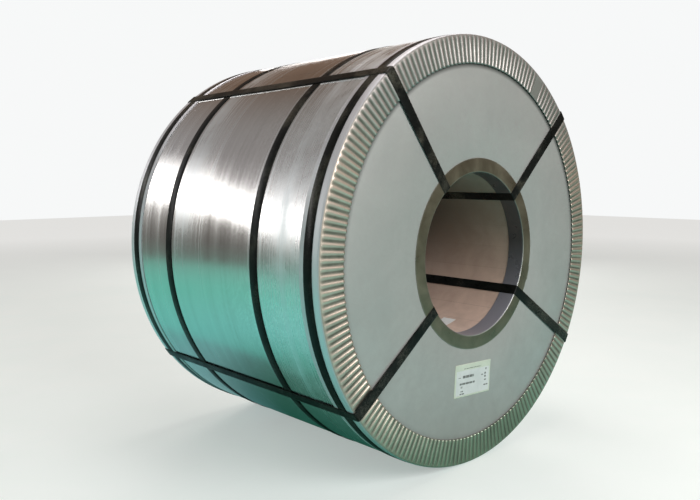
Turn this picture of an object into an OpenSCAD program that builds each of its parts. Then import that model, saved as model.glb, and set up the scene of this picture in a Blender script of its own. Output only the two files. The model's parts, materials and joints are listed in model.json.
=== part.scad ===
// Packed steel coil, lying with its eye level.
// Wound strip with a bore liner, a sheet wrap, side discs, edge protectors and steel straps.
// Every piece is built round the Z axis with its front end up, then laid down by lay().

/* [Wound strip] */
// Outer diameter of the wound steel
coil_od = 1300; // [900:10:1800]
// Bore of the wound steel, set by the mandrel it was wound on
coil_id = 508; // [420:1:620]
// Width of the strip
coil_w = 960; // [600:10:1500]

/* [Bore liner] */
// Wall of the fibreboard tube in the bore
liner_t = 3; // [1:0.5:6]

/* [Wrap sheet] */
// Thickness of the sheet round the coil
wrap_t = 0.5; // [0.3:0.1:1]
// Where the sheet's outer end lies, seen from the front
seam_at = 130.5; // [90:0.5:170]
// Arc by which the sheet's ends overlap
seam_lap = 8; // [3:1:15]

/* [Side discs] */
// Thickness of the flat disc on each end
disc_t = 1; // [0.5:0.5:4]

/* [Outer edge rings] */
// Thickness of the strip that the rings are folded from
ring_t = 1; // [0.6:0.1:2]
// Width of the fluted leg on the face
outer_face_leg = 84; // [40:1:120]
// Width of the smooth leg round the body
outer_body_leg = 74; // [50:1:120]
// Outside radius of the fold between the legs
outer_fold_r = 7; // [3:1:7]
// Flutes that gather the face leg
flute_count = 198; // [60:2:220]
// Where the ring's ends lap, seen from the front
outer_lap_at = 60; // [0:1:360]

/* [Inner edge rings] */
// Width of the flat leg on the face
inner_face_leg = 43; // [20:1:80]
// Depth of the leg in the bore
inner_bore_leg = 56; // [20:1:120]
// Outside radius of the fold between the legs
inner_fold_r = 3; // [2:1:4]
// Arc by which the ring's ends overlap
inner_lap = 9; // [4:1:20]
// Where the overlap begins, seen from the front
inner_lap_at = 339; // [0:1:360]
// How far the overlapping end stands out past the rim
inner_lap_step = 2; // [0:0.5:5]

/* [Straps] */
// Width of the steel strap
strap_w = 32; // [19:1:40]
// Thickness of the steel strap
strap_t = 0.9; // [0.5:0.1:1.3]
// Edge strap's middle from the end of the pack
edge_strap_in = 44; // [25:1:60]
// Front middle strap's centre from the front of the pack
front_strap_in = 272; // [120:1:290]
// Back middle strap's centre from the back of the pack
back_strap_in = 254; // [120:1:290]
// Places of the four straps through the eye, seen from the front
eye_upper_left_at = 128.5; // [110:0.5:160]
eye_upper_right_at = 43.5; // [25:0.5:70]
eye_lower_right_at = 327.5; // [300:0.5:340]
eye_lower_left_at = 216.5; // [200:0.5:240]
// How far the loose end of one strap shows beside it
tail_shift = 6; // [0:1:10]
// Where the loose end stops, from the inner edge of the flutes
tail_in = 4; // [0:1:30]

/* [Strap seals] */
// Length of a crimped seal along its strap
seal_len = 48; // [30:1:70]
// Thickness of a seal
seal_t = 1; // [0.6:0.1:1.6]
// Where the seals of the straps round the body sit, seen from the front
seal_at = 20; // [5:1:60]

/* [Papers] */
// Width of the label on the front disc
label_w = 182; // [100:1:210]
// Height of the label
label_h = 102; // [60:1:148]
// How far the label's middle is to the side of the coil's axis
label_x = -16; // [-60:1:60]
// Gap between the rim of the inner ring and the label under it
label_gap = 44; // [5:1:60]
// Turn of the label
label_tilt = -3.5; // [-15:0.5:15]
// Side of the small paper slip in the bore
slip_w = 50; // [20:1:80]
// How deep in the bore the slip is stuck
slip_in = 200; // [120:1:400]
// Where the slip sits, seen from the front
slip_at = 278; // [0:1:360]

/* [Hidden] */
// Clearance between neighbouring layers of the pack
lay_gap = 0.2;
paper_t = 0.3;
$fn = 180;

// Radii of the layers on the body, from the steel outwards
coil_r = coil_od / 2;
wrap_in_r = coil_r + lay_gap;
wrap_r = wrap_in_r + wrap_t;
over_wrap_r = wrap_r + wrap_t + lay_gap;
ring_r = over_wrap_r + ring_t;
edge_strap_r = ring_r + lay_gap;
eye_body_r = edge_strap_r + strap_t + lay_gap;
// Radii of the layers in the bore, from the steel inwards
liner_out_r = coil_id / 2 - lay_gap;
liner_in_r = liner_out_r - liner_t;
bore_ring_out_r = liner_in_r - lay_gap;
clear_r = bore_ring_out_r - ring_t;
eye_bore_r = clear_r - lay_gap;
// Heights of the layers on each end, from the coil's middle
end_z = coil_w / 2;
disc_z = end_z + lay_gap;
flange_z = disc_z + disc_t + lay_gap;
inner_face_z = flange_z + ring_t;
// Depth of the flutes at a radius: they take up the length that the folded leg has to lose
function flute_depth(r) = 4 / flute_count * sqrt(r * (ring_r - r));
outer_leg_in_r = ring_r - outer_face_leg;
flute_full = flute_depth(outer_leg_in_r);
// Radius between fold and edge at which the flutes' rise is broken, nearer the fold where it is steep
leg_middle_r = ring_r - 0.4 * outer_face_leg;
crest_z = flange_z + ring_t + flute_full;
fold_z = flange_z + ring_t + flute_full / 2;
fold_start_r = ring_r - outer_fold_r;
fold_start_z = fold_z - outer_fold_r;
inner_leg_out_r = clear_r + inner_face_leg;
// Height of the axis when the coil lies on its edge straps
rest_h = edge_strap_r + strap_t;

// Lays the coil down: its front end faces -Y and its lowest line is on Z = 0
module lay() translate([0, 0, rest_h]) rotate([90, 0, 0]) children();

// Puts a piece made for the front end on the back end
module at_back() mirror([0, 0, 1]) children();

// Tube from radius a to radius b, between two heights
module tube(a, b, low, high) {
    rotate_extrude() translate([a, low]) square([b - a, high - low]);
}

module steel_coil() color("silver") lay() tube(coil_id / 2, coil_r, -end_z, end_z);

// The liner stops just short of the strip's edges
module bore_liner() color("saddlebrown") lay() tube(liner_in_r, liner_out_r, ring_t - end_z, end_z - ring_t);

// The sheet goes once round between the folds of the edge rings, its outer end on its inner end.
// It is two layers thick, less the outer layer everywhere but at the lap.
module wrap_sheet() color("lightgray") lay() difference() {
    tube(wrap_in_r, wrap_r + wrap_t, -fold_start_z, fold_start_z);
    rotate([0, 0, seam_at]) rotate_extrude(angle = 360 - seam_lap)
        translate([wrap_r, -coil_w]) square([2 * wrap_t, 2 * coil_w]);
}

module end_disc() tube(clear_r + inner_fold_r, fold_start_r, disc_z, disc_z + disc_t);

module end_disc_front() color("darkgray") lay() end_disc();
module end_disc_back() color("darkgray") lay() at_back() end_disc();

// Section of the outer ring at one column, as [radius, height] pairs round its outline.
// side is 1 on a crest, -1 in a trough and 0 where the leg stays flat.
function arc(cx, cz, r, steps) = [for (i = [0:steps])
    [cx + r * cos(90 * i / steps), cz + r * sin(90 * i / steps)]];
function leg(lift, side) = [for (r = [leg_middle_r, outer_leg_in_r])
    [r, fold_z - lift + side * flute_depth(r) / 2]];
function ring_section(side) = let (
        r = fold_start_r,
        z = fold_start_z,
        tip = fold_z - outer_body_leg,
        outside = concat([[ring_r, tip]], arc(r, z, outer_fold_r, 2), leg(0, side)),
        inside = concat([[ring_r - ring_t, tip]], arc(r, z, outer_fold_r - ring_t, 2), leg(ring_t, side)))
    concat(outside, [for (i = [len(inside) - 1:-1:0]) inside[i]]);

// One strip folded to an L, its face leg gathered into flutes, flat where its ends lap
module outer_ring() {
    columns = 2 * flute_count;
    rows = len(ring_section(0));
    rotate([0, 0, outer_lap_at]) polyhedron(
        points = [for (c = [0:columns - 1])
            let (a = 360 * (c + 0.5) / columns, side = c == 0 || c == columns - 1 ? 0 : 1 - 2 * (c % 2))
            for (p = ring_section(side)) [p[0] * cos(a), p[0] * sin(a), p[1]]],
        faces = [for (c = [0:columns - 1], k = [0:rows - 1])
            let (n = (c + 1) % columns, m = (k + 1) % rows)
            for (f = [[c * rows + k, c * rows + m, n * rows + m], [c * rows + k, n * rows + m, n * rows + k]]) f]);
}

module outer_ring_front() color("gainsboro") lay() outer_ring();
module outer_ring_back() color("gainsboro") lay() at_back() outer_ring();

// L section of the inner ring, rounded where it folds into the bore
module inner_section() {
    fold = [clear_r + inner_fold_r, inner_face_z - inner_fold_r];
    leg_in = inner_fold_r - ring_t;
    translate([clear_r, inner_face_z - inner_bore_leg]) square([ring_t, inner_bore_leg - inner_fold_r]);
    translate([fold[0], inner_face_z - ring_t]) square([inner_face_leg - inner_fold_r, ring_t]);
    translate(fold) intersection() {
        difference() {
            circle(inner_fold_r, $fn = 40);
            circle(leg_in, $fn = 40);
        }
        translate([-inner_fold_r, 0]) square(inner_fold_r);
    }
}

// One strip folded to a plain L, its ends overlapping by inner_lap
module inner_ring() {
    rotate_extrude() inner_section();
    rotate([0, 0, inner_lap_at]) rotate_extrude(angle = inner_lap)
        translate([clear_r + 2 * inner_fold_r, inner_face_z - ring_t / 2])
            square([inner_face_leg - 2 * inner_fold_r + inner_lap_step, ring_t * 1.5]);
}

module inner_ring_front() color("dimgray") lay() inner_ring();
module inner_ring_back() color("dimgray") lay() at_back() inner_ring();

// Strap round the body on radius r, its middle at height z
module round_strap(r, z) tube(r, r + strap_t, z - strap_w / 2, z + strap_w / 2);

module strap_front_edge() color("darkslategray") lay() round_strap(edge_strap_r, crest_z - edge_strap_in);
module strap_front_middle() color("darkslategray") lay() round_strap(over_wrap_r, crest_z - front_strap_in);
module strap_back_middle() color("darkslategray") lay() round_strap(over_wrap_r, back_strap_in - crest_z);
module strap_back_edge() color("darkslategray") lay() round_strap(edge_strap_r, edge_strap_in - crest_z);

// Strap through the eye, seen edge on: along one face, round the edge and half way along the body
eye_low_z = inner_face_z + lay_gap;
eye_high_z = crest_z + lay_gap;
function eye_half(lift) = concat(
    [[0, eye_low_z + lift], [inner_leg_out_r, eye_low_z + lift], [outer_leg_in_r, eye_high_z + lift]],
    [for (i = [4:-1:0])
        let (r = outer_fold_r + lift, a = 90 * i / 4)
        [eye_body_r - outer_fold_r + r * cos(a), eye_high_z - outer_fold_r + r * sin(a)]]);
function turned_over(path) = [for (i = [len(path) - 1:-1:0]) [path[i][0], -path[i][1]]];
function eye_path(lift) = concat(eye_half(lift), turned_over(eye_half(lift)));

// The flat stretches stop at the bore, where the strap lies against the wall of the eye
module eye_strap(at) rotate([0, 0, at]) {
    difference() {
        rotate([90, 0, 0]) linear_extrude(strap_w, center = true)
            polygon(concat(eye_path(strap_t), [for (i = [len(eye_path(0)) - 1:-1:0]) eye_path(0)[i]]));
        cylinder(r = eye_bore_r - strap_t, h = 2 * crest_z + coil_w, center = true);
    }
    intersection() {
        tube(eye_bore_r - strap_t, eye_bore_r, -eye_low_z - strap_t, eye_low_z + strap_t);
        translate([coil_id / 4, 0, 0]) cube([coil_id / 2, strap_w, 2 * crest_z + coil_w], center = true);
    }
}

// Loose end of a strap, lying on it over the flutes
module strap_tail(at) rotate([0, 0, at])
    translate([outer_leg_in_r + tail_in, -strap_w / 2 - tail_shift, eye_high_z + strap_t])
        cube([fold_start_r - outer_leg_in_r - tail_in, strap_w, strap_t]);

module eye_strap_upper_left() color("black") lay() eye_strap(eye_upper_left_at);
module eye_strap_upper_right() color("black") lay() eye_strap(eye_upper_right_at);
module eye_strap_lower_right() color("black") lay() eye_strap(eye_lower_right_at);
module eye_strap_lower_left() color("black") lay() {
    eye_strap(eye_lower_left_at);
    strap_tail(eye_lower_left_at);
}

// Section of a seal across its strap: a cap with a lip down each side
module seal_section() {
    half = strap_w / 2 + lay_gap;
    translate([lay_gap + strap_t, -half - seal_t]) square([seal_t, 2 * (half + seal_t)]);
    for (side = [0, 1]) mirror([0, side]) translate([lay_gap, half]) square([strap_t + seal_t, seal_t]);
}

// Seal on a strap round the body, and on a strap through the eye at the back
module round_seal(r, z) rotate([0, 0, seal_at]) rotate_extrude(angle = seal_len / coil_r * 180 / PI)
    translate([r, z]) seal_section();
module eye_seal(at) rotate([0, 0, at])
    translate([(eye_body_r - outer_fold_r + outer_leg_in_r - seal_len) / 2, 0, -eye_high_z])
        rotate([0, 90, 0]) linear_extrude(seal_len) seal_section();

module strap_seals() color("darkgray") lay() {
    for (z = [crest_z - edge_strap_in, edge_strap_in - crest_z]) round_seal(edge_strap_r, z);
    for (z = [crest_z - front_strap_in, back_strap_in - crest_z]) round_seal(over_wrap_r, z);
    for (at = [eye_upper_left_at, eye_upper_right_at, eye_lower_right_at]) eye_seal(at);
}

module coil_label() color("ivory") lay()
    translate([label_x, -inner_leg_out_r - label_gap - label_h / 2, flange_z]) rotate([0, 0, label_tilt]) linear_extrude(paper_t)
        square([label_w, label_h], center = true);

// A slip of paper curved with the liner
module bore_slip() color("ivory") lay()
    rotate([0, 0, slip_at]) rotate_extrude(angle = slip_w / liner_in_r * 180 / PI)
        translate([liner_in_r - paper_t - lay_gap / 2, crest_z - slip_in]) square([paper_t, slip_w]);

steel_coil();
bore_liner();
wrap_sheet();
end_disc_front();
end_disc_back();
outer_ring_front();
outer_ring_back();
inner_ring_front();
inner_ring_back();
strap_front_edge();
strap_front_middle();
strap_back_middle();
strap_back_edge();
eye_strap_upper_left();
eye_strap_upper_right();
eye_strap_lower_right();
eye_strap_lower_left();
strap_seals();
coil_label();
bore_slip();
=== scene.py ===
# %% [markdown]
# # A packed steel coil
#
# The object is a coil of sheet steel that lies with its eye level, ready for a truck.
# Its makers wrap it in thin sheet, lay a disc on each end, fold steel edge rings over the
# corners and strap the whole with steel strap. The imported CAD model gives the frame: every
# piece made here goes exactly where that model says. Thin curved sheet needs rounder curves
# and finer folds than the CAD mesh has, so most of the skin is modelled again below.

# %% Load the frame
import json
import math

import bmesh
import bpy
from mathutils import Matrix, Quaternion, Vector


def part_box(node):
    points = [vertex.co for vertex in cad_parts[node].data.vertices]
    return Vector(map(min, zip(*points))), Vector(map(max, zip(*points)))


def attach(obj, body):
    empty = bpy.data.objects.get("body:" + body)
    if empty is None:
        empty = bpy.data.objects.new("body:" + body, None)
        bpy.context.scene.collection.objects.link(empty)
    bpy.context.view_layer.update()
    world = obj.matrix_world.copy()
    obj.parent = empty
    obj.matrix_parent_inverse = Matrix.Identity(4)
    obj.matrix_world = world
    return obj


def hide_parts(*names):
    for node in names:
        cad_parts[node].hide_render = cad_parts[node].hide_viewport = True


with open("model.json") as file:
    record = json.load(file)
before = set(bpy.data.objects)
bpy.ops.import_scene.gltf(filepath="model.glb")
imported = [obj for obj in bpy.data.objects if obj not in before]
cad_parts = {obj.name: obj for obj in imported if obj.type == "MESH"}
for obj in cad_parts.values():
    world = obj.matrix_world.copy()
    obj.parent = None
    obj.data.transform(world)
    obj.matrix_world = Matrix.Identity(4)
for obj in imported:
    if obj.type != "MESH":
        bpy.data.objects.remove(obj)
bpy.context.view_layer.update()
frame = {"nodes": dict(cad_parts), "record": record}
print("packed nodes:", len(frame["nodes"]))

# %% [markdown]
# ## Sizes
#
# The wound steel's box gives its radius and its half width, and the eye mount gives the
# height of the axis. All the layers outside and inside it follow from those three numbers,
# as they do in the CAD source. Everything is in metres.

# %% Layers of the pack, from the wound steel outwards and inwards
MM = 0.001
GAP = 0.2 * MM
coil_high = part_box("steel_coil")[1]
coil_r = coil_high.x
end_h = coil_high.y
axis_z = frame["record"]["mounts"][0]["pos_m"][2]
wrap_t = 0.5 * MM
disc_t = 1 * MM
liner_t = 3 * MM
strap_t, strap_w = 0.9 * MM, 32 * MM

sheet_r = coil_r + GAP + wrap_t
middle_strap_r = sheet_r + wrap_t + GAP
ring_t = 1.0 * MM
ring_r = sheet_r + wrap_t + GAP + ring_t
edge_strap_r = ring_r + GAP
eye_body_r = edge_strap_r + strap_t + GAP

liner_out_r = 253.8 * MM
liner_in_r = liner_out_r - liner_t
bore_r = liner_in_r - GAP - ring_t

disc_h = end_h + GAP
flange_h = disc_h + disc_t + GAP
inner_face_h = flange_h + ring_t
crest_h = -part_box("outer_ring_front")[0].y
print(f"coil {2 * coil_r:.3f} m across, {2 * end_h:.3f} m wide,",
      f"axis at {axis_z:.4f} m, crests at {crest_h:.4f} m")

# %% Legs and folds of the edge rings
outer_body_leg = 74 * MM
inner_bore_leg = 56 * MM
fold_r = 7 * MM
inner_fold_r = 3 * MM
flange_r = bore_r + 43 * MM
flute_in_r = ring_r - 84 * MM
print(f"flutes from {flute_in_r:.4f} m, inner flange out to {flange_r:.4f} m")

# %% [markdown]
# ## Camera
#
# The coil is seen from the front left, a little above its axis, with a wide lens, which is
# why the near end looks so much bigger than the far end. The camera comes first, so that
# every later step can be judged through it.

# %% Camera
camera_data = bpy.data.cameras.new("camera")
camera_data.sensor_width = 36
camera_data.lens = 35.859
camera = bpy.data.objects.new("camera", camera_data)
bpy.context.scene.collection.objects.link(camera)
camera.location = (-1.7550, -1.7404, 0.8844)
camera.rotation_euler = Vector((0.6895, 0.7170, -0.1022)).to_track_quat("-Z", "Y").to_euler()
bpy.context.scene.camera = camera
reach = (camera.location - Vector((0, -end_h, axis_z))).length
print(f"camera {reach:.3f} m from the front face's middle")

# %% [markdown]
# ## Helpers for spun sheet
#
# Nearly every piece here is a section swept round the coil's axis. It is easiest to draw the
# section as radius and height, spin it round Z with the front end up, and lay the finished
# mesh down at the end. The same two helpers then serve rings, straps, discs and the wrap.

# %% Section, spin and lay down
def chain(bm, points, closed=False):
    """A line of vertices through (radius, height) points, joined by edges."""
    verts = [bm.verts.new((r, 0, h)) for r, h in points]
    for a, b in zip(verts, verts[1:] + verts[:1] if closed else verts[1:]):
        bm.edges.new((a, b))
    return verts


def rotate(bm, degrees, axis="Z"):
    """Turns all that is in the mesh about an axis through the origin."""
    matrix = Matrix.Rotation(math.radians(degrees), 3, axis)
    bmesh.ops.rotate(bm, cent=(0, 0, 0), matrix=matrix, verts=bm.verts)


def spin_round(bm, steps, start=0.0, sweep=360.0, tiles=1):
    """Sweeps all that is in the mesh round the axis, from start over sweep degrees.

    With tiles, it sweeps one tile of steps columns, and then sets copies of the tile side
    by side all round. That is much faster where a pattern repeats.
    """
    if tiles > 1:
        bmesh.ops.spin(bm, geom=bm.verts[:] + bm.edges[:], cent=(0, 0, 0), axis=(0, 0, 1),
                       angle=math.radians(sweep / tiles), steps=steps, use_merge=False)
        tile = bm.verts[:] + bm.edges[:] + bm.faces[:]
        bmesh.ops.spin(bm, geom=tile, cent=(0, 0, 0), axis=(0, 0, 1),
                       angle=math.radians(sweep), steps=tiles, use_duplicate=True)
        bmesh.ops.remove_doubles(bm, verts=bm.verts, dist=0.02 * MM)
        return
    rotate(bm, start)
    bmesh.ops.spin(bm, geom=bm.verts[:] + bm.edges[:], cent=(0, 0, 0), axis=(0, 0, 1),
                   angle=math.radians(sweep), steps=steps, use_merge=sweep == 360.0)
    bmesh.ops.remove_doubles(bm, verts=bm.verts, dist=0.01 * MM)


def lay_down(bm, at_back=False):
    """Turns the front end to -Y, or mirrors it to the back end, and lifts it to the axis."""
    if at_back:
        bmesh.ops.scale(bm, vec=(1, 1, -1), verts=bm.verts)
    rotate(bm, 90, "X")
    bmesh.ops.translate(bm, vec=(0, 0, axis_z), verts=bm.verts)


def finish_piece(bm, name, slot, material, *nodes, smooth=True, keep_normals=False):
    """Makes the mesh an object that rides with the coil and stands for CAD nodes."""
    if not keep_normals:
        bmesh.ops.recalc_face_normals(bm, faces=bm.faces)
    for face in bm.faces:
        face.smooth = smooth
    mesh = bpy.data.meshes.new(name)
    bm.to_mesh(mesh)
    bm.free()
    mesh.materials.append(material)
    piece = bpy.data.objects.new(name, mesh)
    bpy.context.scene.collection.objects.link(piece)
    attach(piece, "root")
    if nodes:
        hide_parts(*nodes)
    triangles = sum(len(p.vertices) - 2 for p in mesh.polygons)
    print(f"{name}: {len(mesh.vertices)} vertices, {triangles} triangles")
    return piece


def harden(piece, angle=40):
    """Keeps edges sharper than angle crisp while the rest shades smoothly."""
    piece.data.set_sharp_from_angle(angle=math.radians(angle))


def thicken(piece, thickness, offset=-1, name="wall"):
    """Gives a sheet its thickness: inwards from its faces, or outwards with an offset of 1."""
    wall = piece.modifiers.new(name, "SOLIDIFY")
    wall.thickness = thickness
    wall.offset = offset


# %% [markdown]
# ## Node groups
#
# Three effects come back in several finishes, so each is a node group with named sockets:
# where a point lies round the axis, the streaks that rolling leaves, and the marks of
# handling, which are blotches, specks, scratches and soft dents. Rolled sheet runs round the
# coil, so its streaks are long round the axis and very short along it.

# %% Helpers for node trees
def new_group(name, inputs, outputs):
    """A node group; its inputs are (name, socket type, value), its outputs (name, type)."""
    group = bpy.data.node_groups.new(name, "ShaderNodeTree")
    for socket, kind, value in inputs:
        made = group.interface.new_socket(name=socket, in_out="INPUT", socket_type=kind)
        if value is not None:
            made.default_value = value
    for socket, kind in outputs:
        group.interface.new_socket(name=socket, in_out="OUTPUT", socket_type=kind)
    return group, group.nodes.new("NodeGroupInput"), group.nodes.new("NodeGroupOutput")


def add(tree, kind, inputs=None, **settings):
    """One node, with its settings, and each input either a value or a link."""
    node = tree.nodes.new(kind)
    for key, value in settings.items():
        setattr(node, key, value)
    for key, value in (inputs or {}).items():
        if isinstance(value, bpy.types.NodeSocket):
            tree.links.new(value, node.inputs[key])
        else:
            node.inputs[key].default_value = value
    return node


def maths(tree, operation, a, b=0.0, clamp=False):
    node = add(tree, "ShaderNodeMath", {0: a, 1: b}, operation=operation, use_clamp=clamp)
    return node.outputs[0]


def times(tree, a, b, clamp=False):
    return maths(tree, "MULTIPLY", a, b, clamp)


def plus(tree, a, b, clamp=False):
    return maths(tree, "ADD", a, b, clamp)


def minus(tree, a, b):
    return maths(tree, "SUBTRACT", a, b)


def size_of(tree, a):
    return maths(tree, "ABSOLUTE", a)


def noise(tree, place, scale, detail, rough=0.5, distortion=0.0):
    """Noise between 0 and 1; a higher detail and rough give it a finer grain."""
    return add(tree, "ShaderNodeTexNoise", {"Vector": place, "Scale": scale, "Detail": detail,
               "Roughness": rough, "Distortion": distortion}).outputs["Fac"]


def spread(tree, value, low, high, to_low=0.0, to_high=1.0):
    """Maps low..high onto to_low..to_high, and holds it there."""
    return add(tree, "ShaderNodeMapRange", {"Value": value, "From Min": low, "From Max": high,
               "To Min": to_low, "To Max": to_high}).outputs["Result"]


def blend(tree, amount, a, b, mode="MIX"):
    """A mix of two colours; each is a colour or a link."""
    node = tree.nodes.new("ShaderNodeMix")
    node.data_type = "RGBA"
    node.blend_type = mode
    node.clamp_factor = True
    for socket, value in ((node.inputs[0], amount), (node.inputs[6], a), (node.inputs[7], b)):
        if isinstance(value, bpy.types.NodeSocket):
            tree.links.new(value, socket)
        elif isinstance(value, (int, float)):
            socket.default_value = value
        else:
            socket.default_value = (*value, 1.0)
    return node.outputs[2]


FLOAT = "NodeSocketFloat"


# %% Group: distance and direction from the axis
def make_axis_group():
    group, _, out = new_group("round_the_axis", [], [
        ("Radius", FLOAT), ("Turn", FLOAT), ("Along", FLOAT), ("Height", FLOAT)])
    place = group.nodes.new("ShaderNodeTexCoord").outputs["Object"]
    parts = add(group, "ShaderNodeSeparateXYZ", {0: place})
    up = minus(group, parts.outputs["Z"], axis_z)
    squares = plus(group, times(group, parts.outputs["X"], parts.outputs["X"]),
                    times(group, up, up))
    group.links.new(maths(group, "SQRT", squares), out.inputs["Radius"])
    turn = maths(group, "ARCTAN2", up, parts.outputs["X"])
    group.links.new(maths(group, "DEGREES", turn), out.inputs["Turn"])
    group.links.new(parts.outputs["Y"], out.inputs["Along"])
    group.links.new(parts.outputs["Z"], out.inputs["Height"])
    return group


axis_group = make_axis_group()
print("group", axis_group.name)


# %% Group: streaks left by rolling
def make_streak_group():
    group, given, out = new_group(
        "rolling_streaks", [("Fineness", FLOAT, 1.0)], [("Broad", FLOAT), ("Fine", FLOAT)])
    place = group.nodes.new("ShaderNodeTexCoord").outputs["Object"]
    spots = []
    for across, along in ((16.0, 0.35), (210.0, 0.5)):
        fine = times(group, given.outputs["Fineness"], across)
        size = add(group, "ShaderNodeCombineXYZ", {"X": along, "Y": fine, "Z": along})
        stretched = add(group, "ShaderNodeVectorMath", {0: place, 1: size.outputs[0]},
                        operation="MULTIPLY")
        spots.append(noise(group, stretched.outputs[0], 1.0, 4.0, 0.6))
    group.links.new(spread(group, spots[0], 0.34, 0.66), out.inputs["Broad"])
    group.links.new(spread(group, spots[1], 0.3, 0.7), out.inputs["Fine"])
    return group


streak_group = make_streak_group()
print("group", streak_group.name)


# %% Group: blotches, specks and soft dents
def make_mark_group():
    group, given, out = new_group("handling_marks", [("Size", FLOAT, 1.0)], [
        ("Blotches", FLOAT), ("Specks", FLOAT), ("Scratches", FLOAT), ("Dents", FLOAT)])
    place = group.nodes.new("ShaderNodeTexCoord").outputs["Object"]
    sized = add(group, "ShaderNodeVectorMath", {0: place, "Scale": given.outputs["Size"]},
                operation="SCALE").outputs[0]
    cloud = noise(group, sized, 5.5, 6.0, 0.62, 0.4)
    group.links.new(spread(group, cloud, 0.36, 0.66), out.inputs["Blotches"])
    fleck = noise(group, sized, 95.0, 3.0, 0.7)
    group.links.new(spread(group, fleck, 0.66, 0.78), out.inputs["Specks"])
    hair = noise(group, sized, 9.0, 8.0, 0.8, 2.6)
    thin = size_of(group, minus(group, hair, 0.5))
    group.links.new(spread(group, thin, 0.0, 0.012, 1.0, 0.0), out.inputs["Scratches"])
    group.links.new(noise(group, sized, 3.4, 1.0, 0.4), out.inputs["Dents"])
    return group


mark_group = make_mark_group()
print("group", mark_group.name)


# %% Helper: a material with its shader
def new_material(name, rough, metallic, **sockets):
    """A material with one Principled shader; uniform numbers are set on the shader itself."""
    material = bpy.data.materials.new(name)
    material.use_nodes = True
    tree = material.node_tree
    shader = tree.nodes["Principled BSDF"]
    shader.inputs["Roughness"].default_value = rough
    shader.inputs["Metallic"].default_value = metallic
    for socket, value in sockets.items():
        shader.inputs[socket.replace("_", " ")].default_value = value
    return material, tree, shader


def use(tree, group, **values):
    node = tree.nodes.new("ShaderNodeGroup")
    node.node_tree = group
    for key, value in values.items():
        node.inputs[key].default_value = value
    return node.outputs


def bumped(tree, height, strength, distance, below=None):
    inputs = {"Height": height, "Strength": strength, "Distance": distance}
    if below is not None:
        inputs["Normal"] = below
    return add(tree, "ShaderNodeBump", inputs).outputs["Normal"]


# %% [markdown]
# ## Finish of the wrap sheet
#
# The wrap is bright rolled sheet. Its colour hardly changes; what shows is how sharply it
# mirrors. Broad streaks are rougher and duller, fine ones scatter the light along the axis,
# and a band near the front strap is frosted where the ring was hammered down over the sheet.
# Low down the sheet is tinted faintly green, a painted reflection of a green floor, a little
# more on the broad streaks.

# %% Material: bright rolled sheet
def make_wrap_steel():
    material, tree, shader = new_material("wrap_steel", 0.22, 1.0)
    streaks = use(tree, streak_group)
    marks = use(tree, mark_group, Size=0.9)
    where = use(tree, axis_group)
    base = blend(tree, streaks["Broad"], (0.60, 0.59, 0.575), (0.71, 0.705, 0.69))
    base = blend(tree, times(tree, streaks["Fine"], 0.35), base, (0.47, 0.465, 0.45))
    base = blend(tree, times(tree, marks["Blotches"], 0.2), base, (0.52, 0.50, 0.47))
    # Painted reflection: low down the sheet is tinted green, a little more on the broad streaks.
    painted_floor_reflection = times(tree, spread(tree, where["Height"], 0.66, 0.40),
                 spread(tree, streaks["Broad"], 0, 1, 0.85, 1.0))
    base = blend(tree, painted_floor_reflection, base, (0.86, 0.95, 0.93), "MULTIPLY")
    front_band = spread(tree, where["Along"], -0.20, -0.33)
    back_band = times(tree, spread(tree, where["Along"], 0.06, 0.17),
                      spread(tree, where["Along"], 0.215, 0.19))
    patchy = plus(tree, times(tree, streaks["Fine"], 0.6), times(tree, marks["Blotches"], 0.55))
    front_band = times(tree, front_band, spread(tree, where["Height"], 0.22, 0.36))
    back_band = times(tree, back_band, spread(tree, where["Height"], 0.55, 0.80))
    frost = times(tree, maths(tree, "MAXIMUM", front_band, back_band), patchy, clamp=True)
    base = blend(tree, times(tree, frost, 0.75), base, (0.80, 0.83, 0.86))
    hairs = times(tree, marks["Scratches"], spread(tree, where["Along"], 0.0, -0.30, 0.15, 0.8))
    base = blend(tree, hairs, base, (0.93, 0.93, 0.93))
    drawn = times(tree, spread(tree, streaks["Fine"], 0.62, 0.88),
                  spread(tree, streaks["Broad"], 0.25, 0.8))
    base = blend(tree, times(tree, drawn, 0.42), base, (0.80, 0.86, 0.90))
    rough = plus(tree, spread(tree, streaks["Broad"], 0, 1, 0.15, 0.25), times(tree, frost, 0.24))
    rough = plus(tree, rough, times(tree, drawn, 0.10))
    tree.links.new(base, shader.inputs["Base Color"])
    tree.links.new(rough, shader.inputs["Roughness"])
    tree.links.new(spread(tree, frost, 0.0, 1.0, 1.0, 0.66), shader.inputs["Metallic"])
    normal = bumped(tree, marks["Dents"], 0.18, 6 * MM)
    tree.links.new(bumped(tree, streaks["Fine"], 0.15, 0.1 * MM, normal), shader.inputs["Normal"])
    return material


wrap_steel = make_wrap_steel()
print("material", wrap_steel.name)
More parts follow.
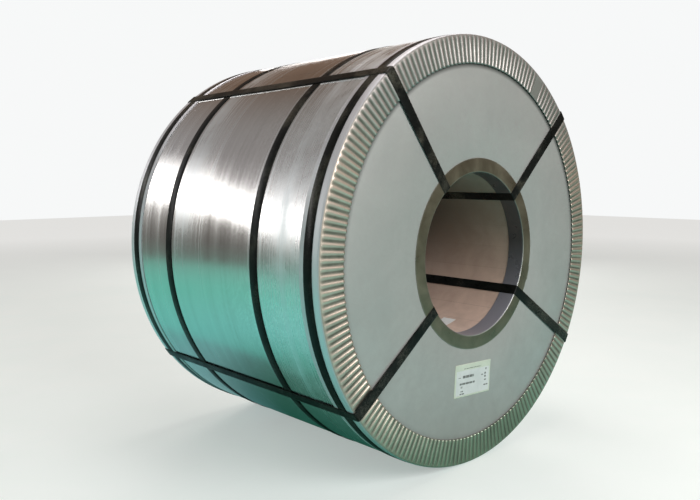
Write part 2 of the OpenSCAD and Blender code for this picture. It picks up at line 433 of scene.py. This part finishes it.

# %% [markdown]
# ## Finish of the outer rings
#
# The rings are galvanised strip. The crests of the flutes are rubbed bright, while the
# troughs are painted dark green: partly grime, partly painted shade and a painted reflection
# of a green floor. A value painted on the mesh, "trough", says how deep in a flute a point
# lies, so this darkening follows the folds exactly. The ring is also painted darker toward
# the top, a painted shade; its body leg is painted light lavender, a painted reflection; and
# low down it is tinted green, a painted reflection of the floor.

# %% Material: galvanised edge ring
def make_ring_steel():
    material, tree, shader = new_material("ring_steel", 0.33, 0.85)
    marks = use(tree, mark_group, Size=2.0)
    streaks = use(tree, streak_group, Fineness=1.6)
    trough = add(tree, "ShaderNodeAttribute", attribute_name="trough").outputs["Fac"]
    where = use(tree, axis_group)
    base = blend(tree, marks["Blotches"], (0.66, 0.54, 0.445), (0.54, 0.435, 0.36))
    # Painted shade: the ring is painted darker toward the top.
    base = blend(tree, spread(tree, where["Height"], 0.90, 1.10), base, (0.40, 0.365, 0.345))
    # Painted reflection: the body leg is painted light lavender; it is also a little rougher and
    # less metallic.
    body_leg = spread(tree, where["Radius"], ring_r - 0.003, ring_r - 0.001)
    base = blend(tree, body_leg, base, (0.80, 0.78, 0.82))
    base = blend(tree, times(tree, streaks["Fine"], 0.2), base, (0.44, 0.42, 0.41))
    # Painted reflection: low down the ring is tinted green.
    low = spread(tree, where["Height"], 0.32, 0.07)
    base = blend(tree, low, base, (0.52, 0.76, 0.68), "MULTIPLY")
    # The troughs are painted dark green: partly grime, partly painted shade and painted reflection.
    trough_grime_and_shade = times(tree, trough, spread(tree, marks["Blotches"], 0, 1, 0.8, 1.0))
    base = blend(tree, trough_grime_and_shade, base, (0.026, 0.044, 0.026))
    base = blend(tree, times(tree, marks["Specks"], 0.5), base, (0.2, 0.19, 0.17))
    tree.links.new(base, shader.inputs["Base Color"])
    rough = spread(tree, marks["Blotches"], 0, 1, 0.37, 0.5)
    rough = plus(tree, rough, times(tree, body_leg, 0.04))
    tree.links.new(plus(tree, rough, times(tree, trough_grime_and_shade, 0.25)), shader.inputs["Roughness"])
    bare = minus(tree, spread(tree, trough_grime_and_shade, 0, 1, 0.85, 0.0), times(tree, body_leg, 0.35))
    tree.links.new(bare, shader.inputs["Metallic"])
    normal = bumped(tree, marks["Dents"], 0.3, 2 * MM)
    tree.links.new(bumped(tree, streaks["Fine"], 0.15, 0.1 * MM, normal), shader.inputs["Normal"])
    return material


ring_steel = make_ring_steel()
print("material", ring_steel.name)

# %% [markdown]
# ## Finish of the discs and inner rings
#
# The end discs are satin coated sheet, almost without reflection but never quite flat, so
# they get a faint mottle and shallow dents, and a painted shadow darkens each disc just inside
# the outer ring's inner edge, most toward the top. The inner rings are the same kind of sheet
# with an olive cast. A bright line along their fold, strongest round the lower right, is a
# painted highlight, and their bore leg is painted light low down and dark at the top, painted
# light and shade.

# %% Material: satin grey disc
def make_disc_grey():
    material, tree, shader = new_material("disc_grey", 0.45, 0.25)
    marks = use(tree, mark_group, Size=0.8)
    small = use(tree, mark_group, Size=3.0)
    where = use(tree, axis_group)
    base = blend(tree, marks["Blotches"], (0.345, 0.336, 0.325), (0.388, 0.372, 0.36))
    base = blend(tree, times(tree, small["Blotches"], 0.42), base, (0.300, 0.300, 0.28))
    base = blend(tree, times(tree, small["Specks"], 0.35), base, (0.16, 0.17, 0.15))
    base = blend(tree, times(tree, marks["Scratches"], 0.18), base, (0.46, 0.47, 0.45))
    # Painted shadow: the disc is darkened just inside the outer ring's inner edge, most toward the
    # top.
    painted_rim_shadow = times(tree, spread(tree, where["Radius"], flute_in_r - 0.015, flute_in_r - 0.002),
                spread(tree, where["Height"], 0.5, 1.05, 0.15, 0.95))
    base = blend(tree, painted_rim_shadow, base, (0.045, 0.05, 0.045))
    tree.links.new(base, shader.inputs["Base Color"])
    tree.links.new(spread(tree, small["Blotches"], 0, 1, 0.38, 0.52), shader.inputs["Roughness"])
    normal = bumped(tree, marks["Dents"], 0.5, 7 * MM)
    tree.links.new(bumped(tree, small["Dents"], 0.25, 1.2 * MM, normal), shader.inputs["Normal"])
    return material


disc_grey = make_disc_grey()
print("material", disc_grey.name)


# %% Material: olive-grey inner ring
def make_ring_grey():
    material, tree, shader = new_material("ring_grey", 0.35, 0.7)
    marks = use(tree, mark_group, Size=2.2)
    where = use(tree, axis_group)
    base = blend(tree, marks["Blotches"], (0.142, 0.116, 0.080), (0.208, 0.170, 0.122))
    # Painted highlight: a bright line along the fold, strongest round the lower right.
    from_highlight_side = size_of(tree, plus(tree, where["Turn"], 48.0))
    highlight_side = spread(tree, from_highlight_side, 38.0, 66.0, 0.85, 0.12)
    from_fold = size_of(tree, minus(tree, where["Radius"], bore_r + 0.0022))
    fold = spread(tree, from_fold, 0.0, 0.0026, 1.0, 0.0)
    base = blend(tree, times(tree, fold, highlight_side), base, (0.66, 0.65, 0.60))
    edge = spread(tree, where["Radius"], flange_r - 0.0035, flange_r - 0.0008)
    base = blend(tree, times(tree, edge, 0.35), base, (0.36, 0.35, 0.30))
    # Painted light and shade: the bore leg is painted light lavender low down and dark at the top.
    bore = spread(tree, where["Radius"], bore_r + 0.0014, bore_r + 0.0009)
    low = spread(tree, where["Height"], 0.68, 0.46)
    bore_tone = blend(tree, low, (0.085, 0.085, 0.092), (0.33, 0.33, 0.39))
    base = blend(tree, times(tree, bore, 0.9), base, bore_tone)
    tree.links.new(base, shader.inputs["Base Color"])
    tree.links.new(spread(tree, bore, 0.0, 1.0, 0.7, 0.35), shader.inputs["Metallic"])
    tree.links.new(spread(tree, marks["Blotches"], 0, 1, 0.26, 0.44), shader.inputs["Roughness"])
    tree.links.new(bumped(tree, marks["Dents"], 0.4, 2.5 * MM), shader.inputs["Normal"])
    return material


ring_grey = make_ring_grey()
print("material", ring_grey.name)

# %% [markdown]
# ## Finish of straps and seals
#
# Steel strap is painted black with a semi-gloss skin. Tension and rubbing leave brownish
# bloom, pale scuffs and thin bright edges; the brownish patches, stronger toward the top, are
# partly bloom and partly a painted reflection. The seals are bare zinc-plated clips, each
# closed by two crimps across it, whose grooves are painted darker, a painted shade.

# %% Material: black painted strap
def make_strap_black():
    material, tree, shader = new_material("strap_black", 0.34, 0.0, Specular_IOR_Level=0.08)
    marks = use(tree, mark_group, Size=3.5)
    wide = use(tree, mark_group, Size=1.1)
    base = blend(tree, marks["Blotches"], (0.0028, 0.0036, 0.0034), (0.0075, 0.0082, 0.0075))
    where = use(tree, axis_group)
    # Brownish patches, stronger toward the top: partly bloom, partly a painted reflection.
    bloom_and_painted_sheen = times(tree, spread(tree, wide["Blotches"], 0.45, 0.95),
                  spread(tree, where["Height"], 0.5, 0.95, 0.25, 0.9))
    base = blend(tree, bloom_and_painted_sheen, base, (0.052, 0.045, 0.032))
    rubbed = times(tree, marks["Scratches"], spread(tree, wide["Blotches"], 0.3, 0.8, 0.1, 0.8))
    base = blend(tree, rubbed, base, (0.20, 0.19, 0.165))
    base = blend(tree, times(tree, marks["Specks"], 0.5), base, (0.075, 0.07, 0.058))
    tree.links.new(base, shader.inputs["Base Color"])
    tree.links.new(spread(tree, marks["Blotches"], 0, 1, 0.25, 0.44), shader.inputs["Roughness"])
    tree.links.new(bumped(tree, marks["Dents"], 0.2, 0.8 * MM), shader.inputs["Normal"])
    return material


strap_black = make_strap_black()
print("material", strap_black.name)


# %% Material: zinc-plated seal
# The middle of the seals round the body, seen from the front, and how far a degree is there
seal_turn, metres_a_degree = 22.12, 0.0113
crimp_from_middle = 10 * MM


def make_seal_steel():
    material, tree, shader = new_material("seal_steel", 0.34, 1.0)
    marks = use(tree, mark_group, Size=6.0)
    where = use(tree, axis_group)
    base = blend(tree, marks["Blotches"], (0.36, 0.36, 0.35), (0.52, 0.52, 0.51))
    on_end = maths(tree, "GREATER_THAN", where["Along"], crest_h - 20 * MM)
    round_it = times(tree, minus(tree, where["Turn"], seal_turn), metres_a_degree)
    out_of_it = minus(tree, where["Radius"], (eye_body_r - fold_r + flute_in_r) / 2)
    place = plus(tree, times(tree, on_end, out_of_it),
                  times(tree, minus(tree, 1.0, on_end), round_it))
    from_crimp = size_of(tree, minus(tree, size_of(tree, place), crimp_from_middle))
    crimp = spread(tree, from_crimp, 1.2 * MM, 3.2 * MM, 1.0, 0.0)
    # Painted shade: the crimp grooves are painted darker.
    base = blend(tree, times(tree, crimp, 0.6), base, (0.12, 0.12, 0.115))
    base = blend(tree, times(tree, marks["Scratches"], 0.5), base, (0.15, 0.14, 0.13))
    tree.links.new(base, shader.inputs["Base Color"])
    tree.links.new(spread(tree, marks["Blotches"], 0, 1, 0.28, 0.5), shader.inputs["Roughness"])
    tree.links.new(bumped(tree, crimp, -0.8, 1.5 * MM), shader.inputs["Normal"])
    return material


seal_steel = make_seal_steel()
print("material", seal_steel.name)

# %% [markdown]
# ## Finish of the liner, the papers and the wound steel
#
# The bore liner is brown fibreboard in several panels: each panel has its own tone, and the
# joints between them are thin dark lines. The board is painted light low down and near the
# front end and dark high up and deep in the bore, painted light and shade. Paper is matt and
# slightly green at its edge. The strip itself is hidden, except where someone takes the skin
# off, and shows its turns there.

# %% Material: brown fibreboard
def make_fibreboard():
    material, tree, shader = new_material("fibreboard", 0.62, 0.0, Sheen_Weight=0.15)
    marks = use(tree, mark_group, Size=2.0)
    where = use(tree, axis_group)
    # Painted light and shade: light low down and near the front end, dark high up and deep in the
    # bore.
    low = spread(tree, where["Height"], 0.78, 0.40)
    near = spread(tree, where["Along"], -0.06, -0.40)
    light = plus(tree, times(tree, low, 0.62), times(tree, near, 0.42), clamp=True)
    base = blend(tree, light, (0.052, 0.033, 0.019), (0.82, 0.605, 0.49))
    base = blend(tree, times(tree, marks["Blotches"], 0.3), base, (0.24, 0.15, 0.115))
    unrolled = add(tree, "ShaderNodeCombineXYZ", {
        "X": times(tree, where["Turn"], 0.02), "Y": where["Along"]}).outputs[0]
    seam = add(tree, "ShaderNodeTexBrick", {
        "Vector": unrolled, "Color1": (0, 0, 0, 1), "Color2": (0.35, 0.35, 0.35, 1),
        "Mortar": (1, 1, 1, 1), "Scale": 1.0, "Mortar Size": 0.003,
        "Brick Width": 0.34, "Row Height": 2.4}).outputs["Color"]
    joint = times(tree, seam, spread(tree, low, 0.3, 0.8, 0.1, 0.4))
    base = blend(tree, joint, base, (0.085, 0.05, 0.038))
    tree.links.new(base, shader.inputs["Base Color"])
    tree.links.new(spread(tree, marks["Blotches"], 0, 1, 0.5, 0.7), shader.inputs["Roughness"])
    normal = bumped(tree, marks["Dents"], 0.5, 4 * MM)
    tree.links.new(bumped(tree, seam, -0.4, 0.5 * MM, normal), shader.inputs["Normal"])
    return material


fibreboard = make_fibreboard()
print("material", fibreboard.name)


# %% Material: paper and its print
def make_paper(name, dull, bright):
    material, tree, shader = new_material(name, 0.6, 0.0)
    marks = use(tree, mark_group, Size=5.0)
    base = blend(tree, marks["Blotches"], dull, bright)
    tree.links.new(base, shader.inputs["Base Color"])
    tree.links.new(bumped(tree, marks["Dents"], 0.3, 1 * MM), shader.inputs["Normal"])
    return material


def make_ink():
    material, tree, shader = new_material("print_ink", 0.5, 0.0)
    marks = use(tree, mark_group, Size=20.0)
    base = blend(tree, marks["Blotches"], (0.10, 0.10, 0.095), (0.17, 0.17, 0.16))
    tree.links.new(base, shader.inputs["Base Color"])
    return material


paper = make_paper("paper", (0.53, 0.54, 0.535), (0.60, 0.605, 0.60))
border_paper = make_paper("border_paper", (0.48, 0.51, 0.42), (0.54, 0.57, 0.48))
white_paper = make_paper("white_paper", (0.80, 0.81, 0.80), (0.88, 0.885, 0.88))
ink = make_ink()
print("materials", paper.name, border_paper.name, white_paper.name, ink.name)


# %% Material: wound strip
def make_coil_steel():
    material, tree, shader = new_material("coil_steel", 0.3, 1.0)
    where = use(tree, axis_group)
    outward = add(tree, "ShaderNodeCombineXYZ", {"X": times(tree, where["Radius"], 400.0)})
    turns = noise(tree, outward.outputs[0], 1.0, 3.0)
    base = blend(tree, turns, (0.40, 0.41, 0.42), (0.68, 0.69, 0.70))
    tree.links.new(base, shader.inputs["Base Color"])
    tree.links.new(bumped(tree, turns, 0.5, 0.4 * MM), shader.inputs["Normal"])
    return material


coil_steel = make_coil_steel()
frame["nodes"]["steel_coil"].data.materials.clear()
frame["nodes"]["steel_coil"].data.materials.append(coil_steel)
print("material", coil_steel.name)

# %% [markdown]
# ## Outer edge rings
#
# One flat strip can't lie round a corner on both sides: the leg on the face has too much
# length for its smaller circle. The factory gathers the spare length in flutes. Each flute
# is deepest at the free edge and dies out at the fold, and its depth follows the length to
# be lost, which grows as the root of the distance from the fold. The section is spun in
# many narrow columns, and each column is then lifted or sunk by that law.

# %% Section of an outer ring
flutes = 198
columns_a_flute = 10
ring_lap_at = 60


def flute_depth(r):
    return 4 / flutes * math.sqrt(max(0.0, r * (ring_r - r)))


fold_h = crest_h - flute_depth(flute_in_r) / 2
leg_rows = [flute_in_r + (ring_r - fold_r - flute_in_r) * t
            for t in (0, 0.06, 0.2, 0.36, 0.52, 0.68, 0.82, 0.92)]
ring_section = [(r, fold_h) for r in leg_rows]
ring_section += [(ring_r - fold_r + fold_r * math.sin(a), fold_h - fold_r + fold_r * math.cos(a))
                 for a in (math.radians(d) for d in (0, 18, 36, 54, 72, 90))]
ring_section += [(ring_r, fold_h - 30 * MM), (ring_r, fold_h - outer_body_leg)]
deepest = flute_depth(flute_in_r)
print(f"{len(ring_section)} rows in the section, flutes {deepest / MM:.2f} mm deep at the edge")


# %% Flutes
def flute_wave(turn):
    """Height of the leg round the ring: 1 on the broad crests, -1 in the narrow troughs."""
    place = turn * flutes / 360
    trough = math.exp(-((place - round(place)) / 0.25) ** 2)
    from_lap = abs((turn + 180) % 360 - 180) * flutes / 360
    lap = min(1.0, max(0.0, (from_lap - 0.9) / 0.35))
    return (1 - 2 * trough) * lap


def make_outer_ring(name, at_back):
    bm = bmesh.new()
    chain(bm, ring_section)
    spin_round(bm, columns_a_flute, tiles=flutes)
    depth = bm.verts.layers.float.new("trough")
    for v in bm.verts:
        r = math.hypot(v.co.x, v.co.y)
        turn = math.degrees(math.atan2(v.co.y, v.co.x)) % 360
        if v.co.z > fold_h - fold_r:
            wave = flute_wave(turn) * min(1.0, max(0.0, (ring_r - 2 * MM - r) / (9 * MM)))
            v.co.z += wave * flute_depth(r) / 2
            fades_in = min(1.0, flute_depth(r) / deepest * 2.2)
            v[depth] = (max(0.0, 0.35 - wave) / 1.35) ** 0.38 * fades_in
    rotate(bm, ring_lap_at)
    lay_down(bm, at_back)
    bmesh.ops.recalc_face_normals(bm, faces=bm.faces)
    outward = sum((f.normal.y for f in bm.faces if abs(f.normal.y) > 0.7), 0.0)
    if (outward > 0) != at_back:
        bmesh.ops.reverse_faces(bm, faces=bm.faces)
    node = name.replace("fluted", "outer")
    piece = finish_piece(bm, name, "ring_steel", ring_steel, node, keep_normals=True)
    thicken(piece, ring_t)


for name, at_back in (("fluted_ring_front", False), ("fluted_ring_back", True)):
    make_outer_ring(name, at_back)

# %% [markdown]
# ## Wrap sheet
#
# The wrap goes once round and laps on itself near the top left strap. Thin sheet never lies
# dead true: between the straps it swells and sinks by a few tenths of a millimetre, too
# little to measure but enough to bend every reflection. The base is a spun line with that
# much waviness, and the lap is a second short strip half a millimetre above it.

# %% Wrap sheet
seam_at, seam_lap = 130.5, 8.0
sheet_half = end_h - 2.4 * MM


def waviness(turn, h):
    a = math.radians(turn)
    slow = (math.sin(3 * a + 5 * h) * 0.5 + math.sin(7 * a - 11 * h + 1.3) * 0.3
            + math.sin(2 * a + 17 * h) * 0.3)
    quick = math.sin(23 * a + 9 * h + 2.0) * math.sin(19 * h + 0.7) * 0.12
    return (slow + quick) * 0.32 * MM


def make_sheet(name, start, sweep, steps, lift, nodes):
    bm = bmesh.new()
    rows = 56
    chain(bm, [(1.0, -sheet_half + 2 * sheet_half * i / rows) for i in range(rows + 1)])
    spin_round(bm, steps, start, sweep)
    for v in bm.verts:
        r = sheet_r + lift + waviness(math.degrees(math.atan2(v.co.y, v.co.x)), v.co.z)
        v.co.x *= r
        v.co.y *= r
    lay_down(bm)
    bmesh.ops.recalc_face_normals(bm, faces=bm.faces)
    face = max(bm.faces, key=lambda f: f.calc_center_median().z)
    if face.normal.z < 0:
        bmesh.ops.reverse_faces(bm, faces=bm.faces)
    piece = finish_piece(bm, name, "wrap_steel", wrap_steel, *nodes, keep_normals=True)
    thicken(piece, wrap_t)


make_sheet("wrap_round", 0, 360.0, 360, -0.1 * MM, ["wrap_sheet"])
make_sheet("wrap_lap", seam_at - seam_lap, seam_lap, 12, 0.4 * MM, [])

# %% [markdown]
# ## Side discs, inner rings and liner
#
# These are plain spun pieces. The disc's section is a thin slab, the inner ring's is an L
# with a small radius, and the liner's is a thin wall. The disc's corners are broken by a
# bevel before the spin, so that light catches the edges.

# %% Spun pieces with a closed section
def spun_piece(name, section, slot, material, node, at_back=False, bevel=0.0, steps=288):
    bm = bmesh.new()
    corners = chain(bm, section, closed=True)
    if bevel:
        bmesh.ops.bevel(bm, geom=corners, offset=bevel, segments=2, profile=0.5,
                        affect="VERTICES", material=-1)
    spin_round(bm, steps)
    lay_down(bm, at_back)
    harden(finish_piece(bm, name, slot, material, node))


def slab(a, b, low, high):
    return [(a, low), (b, low), (b, high), (a, high)]


for side, at_back in (("front", False), ("back", True)):
    spun_piece("side_disc_" + side,
               slab(bore_r + inner_fold_r, ring_r - fold_r, disc_h, disc_h + disc_t),
               "disc_grey", disc_grey, "end_disc_" + side, at_back, 0.2 * MM)

# %% Inner rings
lap_at, lap_sweep = 339, 9


def arc(cx, cz, r, start, end, steps):
    """Points on an arc about (cx, cz), from one angle to another."""
    angles = [math.radians(start + (end - start) * i / steps) for i in range(steps + 1)]
    return [(cx + r * math.cos(a), cz + r * math.sin(a)) for a in angles]


def inner_ring_section():
    x, z = bore_r + inner_fold_r, inner_face_h - inner_fold_r
    tip = inner_face_h - inner_bore_leg
    return ([(bore_r, tip)] + arc(x, z, inner_fold_r, 180, 90, 6)
            + [(flange_r, inner_face_h), (flange_r, flange_h)]
            + arc(x, z, 2 * MM, 90, 180, 6) + [(bore_r + ring_t, tip)])


for side, at_back in (("front", False), ("back", True)):
    bm = bmesh.new()
    chain(bm, inner_ring_section(), closed=True)
    spin_round(bm, 288)
    lay_down(bm, at_back)
    harden(finish_piece(bm, "eye_ring_" + side, "ring_grey", ring_grey, "inner_ring_" + side))
    bm = bmesh.new()
    chain(bm, slab(bore_r + 6 * MM, flange_r + 2 * MM, flange_h + 0.5 * MM,
                   inner_face_h + 0.5 * MM), closed=True)
    spin_round(bm, 10, lap_at, lap_sweep)
    bmesh.ops.holes_fill(bm, edges=bm.edges, sides=8)
    lay_down(bm, at_back)
    harden(finish_piece(bm, "eye_ring_lap_" + side, "ring_grey", ring_grey))

# %% Bore liner
spun_piece("bore_board", slab(liner_in_r, liner_out_r, ring_t - end_h, end_h - ring_t),
           "fibreboard", fibreboard, "bore_liner")

# %% [markdown]
# ## Straps
#
# A strap round the body is a flat bar with broken edges, spun once round. A strap through the
# eye is a flat bar too, but its way is a loop: along the bore, out over the inner ring, up
# over the crests and round the edge. Its middle line is drawn once, with a small radius at
# each bend, widened to the strap's width, and given its thickness by Solidify.

# %% Straps round the body
edge_in, front_in, back_in = 44 * MM, 272 * MM, 254 * MM
strap_edge = 0.25 * MM


def round_strap(name, r, h):
    section = slab(r, r + strap_t, h - strap_w / 2, h + strap_w / 2)
    spun_piece("band_" + name, section, "strap_black", strap_black, "strap_" + name,
               bevel=strap_edge, steps=360)


round_strap("front_edge", edge_strap_r, crest_h - edge_in)
round_strap("front_middle", middle_strap_r, crest_h - front_in)
round_strap("back_middle", middle_strap_r, back_in - crest_h)
round_strap("back_edge", edge_strap_r, edge_in - crest_h)


# %% Straps through the eye
def eye_way():
    """Half the way of a strap seen edge on, as (radius, height), from bore to body."""
    low, high = inner_face_h + GAP, crest_h + GAP
    inner = bore_r - GAP
    way = [(inner, 0), (inner, low - 80 * MM)]
    way += arc(inner + inner_fold_r, low - inner_fold_r, inner_fold_r, 180, 90, 6)
    way += [(flange_r - 10 * MM, low), (flange_r + 10 * MM, low + 0.4 * MM)]
    way += [(flute_in_r - 8 * MM, high - 0.2 * MM), (flute_in_r + 4 * MM, high)]
    way += arc(eye_body_r - fold_r, high - fold_r, fold_r, 90, 0, 8)
    way += [(eye_body_r, high - 60 * MM), (eye_body_r, 0)]
    return way


def make_eye_strap(name, at, node):
    bm = bmesh.new()
    half = eye_way()
    loop = half + [(r, -h) for r, h in reversed(half[1:-1])]
    verts = chain(bm, loop, closed=True)
    bmesh.ops.translate(bm, vec=(0, -strap_w / 2, 0), verts=verts)
    wide = bmesh.ops.extrude_edge_only(bm, edges=bm.edges)["geom"]
    far_edge = [g for g in wide if isinstance(g, bmesh.types.BMVert)]
    bmesh.ops.translate(bm, vec=(0, strap_w, 0), verts=far_edge)
    across = [e for e in bm.edges if abs(e.verts[0].co.y - e.verts[1].co.y) > strap_w / 2]
    bmesh.ops.subdivide_edges(bm, edges=across, cuts=3, use_grid_fill=True)
    for v in bm.verts:
        flat = v.co.x
        if flat < bore_r + 1 * MM or flat > ring_r:
            v.co.x = math.sqrt(flat * flat - v.co.y * v.co.y)
    rotate(bm, at)
    lay_down(bm)
    bmesh.ops.recalc_face_normals(bm, faces=bm.faces)
    piece = finish_piece(bm, name, "strap_black", strap_black, node, keep_normals=True)
    thicken(piece, strap_t, offset=1)
    edge = piece.modifiers.new("edge", "BEVEL")
    edge.width = strap_edge
    edge.segments = 2
    harden(piece, 50)


eye_strap_at = {"upper_left": 128.5, "upper_right": 43.5, "lower_right": 327.5, "lower_left": 216.5}
for name, at in eye_strap_at.items():
    make_eye_strap("strap_" + name, at, "eye_strap_" + name)

# %% Loose tail of the lower left strap
bm = bmesh.new()
bmesh.ops.create_cube(bm, size=1)
tail_from, tail_to = flute_in_r + 4 * MM, ring_r - fold_r
tail_place = ((tail_from + tail_to) / 2, -6 * MM, crest_h + GAP + 1.5 * strap_t)
bmesh.ops.scale(bm, vec=(tail_to - tail_from, strap_w, strap_t), verts=bm.verts)
bmesh.ops.bevel(bm, geom=bm.edges[:], offset=strap_edge, segments=2, profile=0.5,
                affect="EDGES", material=-1)
bmesh.ops.translate(bm, vec=tail_place, verts=bm.verts)
rotate(bm, eye_strap_at["lower_left"])
lay_down(bm)
harden(finish_piece(bm, "strap_tail", "strap_black", strap_black))

# %% [markdown]
# ## Seals and papers
#
# The seals and the small slip keep their CAD shape and only take a finish. The label is a
# sheet of paper with generic rows of print: its mesh is a fine grid, some of whose cells are
# ink, and its corners lift a little off the disc.

# %% Finishes on the pieces kept from CAD
for node, material in (("strap_seals", seal_steel), ("bore_slip", white_paper)):
    frame["nodes"][node].data.materials.clear()
    frame["nodes"][node].data.materials.append(material)
print("kept from CAD: strap_seals, bore_slip, steel_coil")


# %% Label
# The print, as the first and last column and the first and last row of each bar
bars = [(20, 47, 29, 32), (13, 50, 19, 21), (16, 19, 14, 16), (16, 21, 8, 9), (14, 24, 4, 5),
        (78, 80, 36, 38), (76, 79, 29, 31), (76, 79, 24, 26), (76, 80, 19, 20),
        (75, 85, 11, 12), (68, 71, 28, 29), (22, 64, 43, 43), (8, 14, 30, 30)]
label_tilt = -3.5
paper_t = 0.3 * MM


def make_label():
    low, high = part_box("coil_label")
    centre = (low + high) / 2
    wide, tall = 182 * MM, 102 * MM
    columns, rows = 91, 51
    bm = bmesh.new()
    bmesh.ops.create_grid(bm, x_segments=columns, y_segments=rows, size=0.5)
    bmesh.ops.scale(bm, vec=(wide, tall, 1), verts=bm.verts)
    for face in bm.faces:
        spot = face.calc_center_median()
        column = int((spot.x / wide + 0.5) * columns)
        row = int((spot.y / tall + 0.5) * rows)
        printed = any(a <= column <= b and c <= row <= d for a, b, c, d in bars)
        if printed and (column * 5) % 9 > 0:
            face.material_index = 1
        elif column < 4 or column > 87 or row < 3 or row > 40:
            face.material_index = 2
    for v in bm.verts:
        x, y = v.co.x / wide * 2, v.co.y / tall * 2
        v.co.z = paper_t + 0.9 * MM * max(0.0, abs(x) + abs(y) - 1.45) ** 2
    rotate(bm, label_tilt)
    rotate(bm, 90, "X")
    bmesh.ops.translate(bm, vec=(centre.x, high.y, centre.z), verts=bm.verts)
    piece = finish_piece(bm, "label_sheet", "paper", paper, "coil_label", keep_normals=True)
    piece.data.materials.append(ink)
    piece.data.materials.append(border_paper)
    thicken(piece, paper_t, name="sheet")


make_label()

# %% [markdown]
# ## Floor and light
#
# A plain pale floor and soft studio light. Bright metal shows its surroundings more than
# itself, so the light is set for what the coil mirrors: two long panels up on the left for
# the bright band along the body, a softer one for the front face, one above, one behind for
# the back face, and a low green one that fills the underside. The real coil is taken to lie
# on a green painted floor. The floor here is pale to the eye, but it glows and sends a green
# light to the coil, so most of the green is light and not the part's own finish; the rest is
# painted reflection in the finishes of the wrap and the outer rings. In the light it sends,
# the floor is dark just in front of the coil, a painted shadow, and bluish toward its back,
# a painted reflection.

# %% Floor
def make_floor():
    bm = bmesh.new()
    bmesh.ops.create_grid(bm, x_segments=2, y_segments=2, size=14)
    mesh = bpy.data.meshes.new("floor")
    bm.to_mesh(mesh)
    bm.free()
    floor = bpy.data.objects.new("floor", mesh)
    bpy.context.scene.collection.objects.link(floor)
    material, tree, shader = new_material("pale_floor", 0.6, 0.0, Emission_Strength=0.42)
    marks = use(tree, mark_group, Size=0.4)
    seen = tree.nodes.new("ShaderNodeLightPath").outputs["Is Camera Ray"]
    pale = blend(tree, marks["Blotches"], (0.55, 0.585, 0.57), (0.58, 0.61, 0.595))
    place = tree.nodes.new("ShaderNodeTexCoord").outputs["Object"]
    away = add(tree, "ShaderNodeVectorMath", {0: place}, operation="LENGTH").outputs["Value"]
    sides = add(tree, "ShaderNodeSeparateXYZ", {0: place})
    # Painted shadow and reflection: for rays other than the camera's, the floor glows dark just in
    # front of the coil, bluish under its back, teal and green further out and grey far off.
    to_back = spread(tree, sides.outputs["Y"], 0.15, 0.75)
    mirrored_floor_glow = blend(tree, to_back, (0.004, 0.11, 0.07), (0.30, 0.62, 0.76))
    mirrored_floor_glow = blend(tree, spread(tree, away, 0.72, 1.15), mirrored_floor_glow, (0.17, 0.62, 0.68))
    mirrored_floor_glow = blend(tree, spread(tree, away, 1.2, 2.1), mirrored_floor_glow, (0.055, 0.56, 0.46))
    mirrored_floor_glow = blend(tree, spread(tree, away, 2.3, 4.6), mirrored_floor_glow, (0.25, 0.24, 0.23))
    glow = blend(tree, spread(tree, away, 3.5, 9.0), (0.86, 0.92, 0.90), (1.5, 1.53, 1.52))
    tree.links.new(blend(tree, seen, (0.14, 0.34, 0.29), pale), shader.inputs["Base Color"])
    tree.links.new(blend(tree, seen, mirrored_floor_glow, glow), shader.inputs["Emission Color"])
    mesh.materials.append(material)


make_floor()
print("floor laid")


# %% Lights
def panel(name, place, aim, size, power, colour=(1, 1, 1), roll=0):
    light = bpy.data.lights.new(name, "AREA")
    light.shape = "RECTANGLE"
    light.size, light.size_y = size
    light.energy = power
    light.color = colour
    obj = bpy.data.objects.new(name, light)
    bpy.context.scene.collection.objects.link(obj)
    obj.location = place
    obj.visible_camera = False
    faces = (Vector(aim) - Vector(place)).to_track_quat("-Z", "Y")
    obj.rotation_euler = (faces @ Quaternion((0, 0, 1), math.radians(roll))).to_euler()


panel("left_panel", (-3.0, 3.75, 1.78), (-0.6, 0.1, 0.8), (3.4, 0.34), 24, (1.0, 0.98, 0.96), -20)
panel("left_glow", (-3.0, 3.75, 1.96), (-0.6, 0.1, 0.8), (3.4, 0.65), 13, (1.0, 0.98, 0.98), -24)
panel("front_panel", (-0.1, -4.2, 2.5), (0, -0.4, 0.6), (3.0, 2.2), 175)
panel("top_panel", (0.6, 0.3, 4.2), (0, 0, 0), (2.2, 2.2), 60, (1.0, 0.97, 0.94))
panel("back_panel", (3.5, 3.5, 1.9), (0.1, 0.4, 0.6), (2.4, 1.8), 75, (1.0, 0.97, 0.95))
panel("low_panel", (-1.9, 1.8, 0.01), (-1.9, 1.8, 3), (2.4, 4.4), 6, (0.05, 0.95, 0.70))

# %% World
def make_world():
    world = bpy.data.worlds.new("studio")
    bpy.context.scene.world = world
    world.use_nodes = True
    tree = world.node_tree
    back = tree.nodes["Background"]
    direction = tree.nodes.new("ShaderNodeTexCoord").outputs["Generated"]
    sides = add(tree, "ShaderNodeSeparateXYZ", {0: direction})
    sky = add(tree, "ShaderNodeValToRGB", {"Fac": sides.outputs["Z"]})
    tones = ((0.0, (0.16, 0.15, 0.14)), (0.12, (0.22, 0.205, 0.19)), (0.32, (0.42, 0.40, 0.41)),
             (0.62, (0.33, 0.31, 0.30)), (0.86, (0.12, 0.092, 0.07)))
    ramp = sky.color_ramp.elements
    while len(ramp) < len(tones):
        ramp.new(0.5)
    for stop, (height, colour) in zip(ramp, tones):
        stop.position = height
        stop.color = (*colour, 1)
    right = spread(tree, sides.outputs["X"], -0.12, 0.32)
    sky = blend(tree, right, sky.outputs["Color"], (0.54, 0.37, 0.26), "MULTIPLY")
    seen = tree.nodes.new("ShaderNodeLightPath").outputs["Is Camera Ray"]
    tree.links.new(blend(tree, seen, sky, (0.93, 0.94, 0.94)), back.inputs["Color"])
    back.inputs["Strength"].default_value = 1.0
    bpy.context.scene.view_settings.view_transform = "Standard"


make_world()
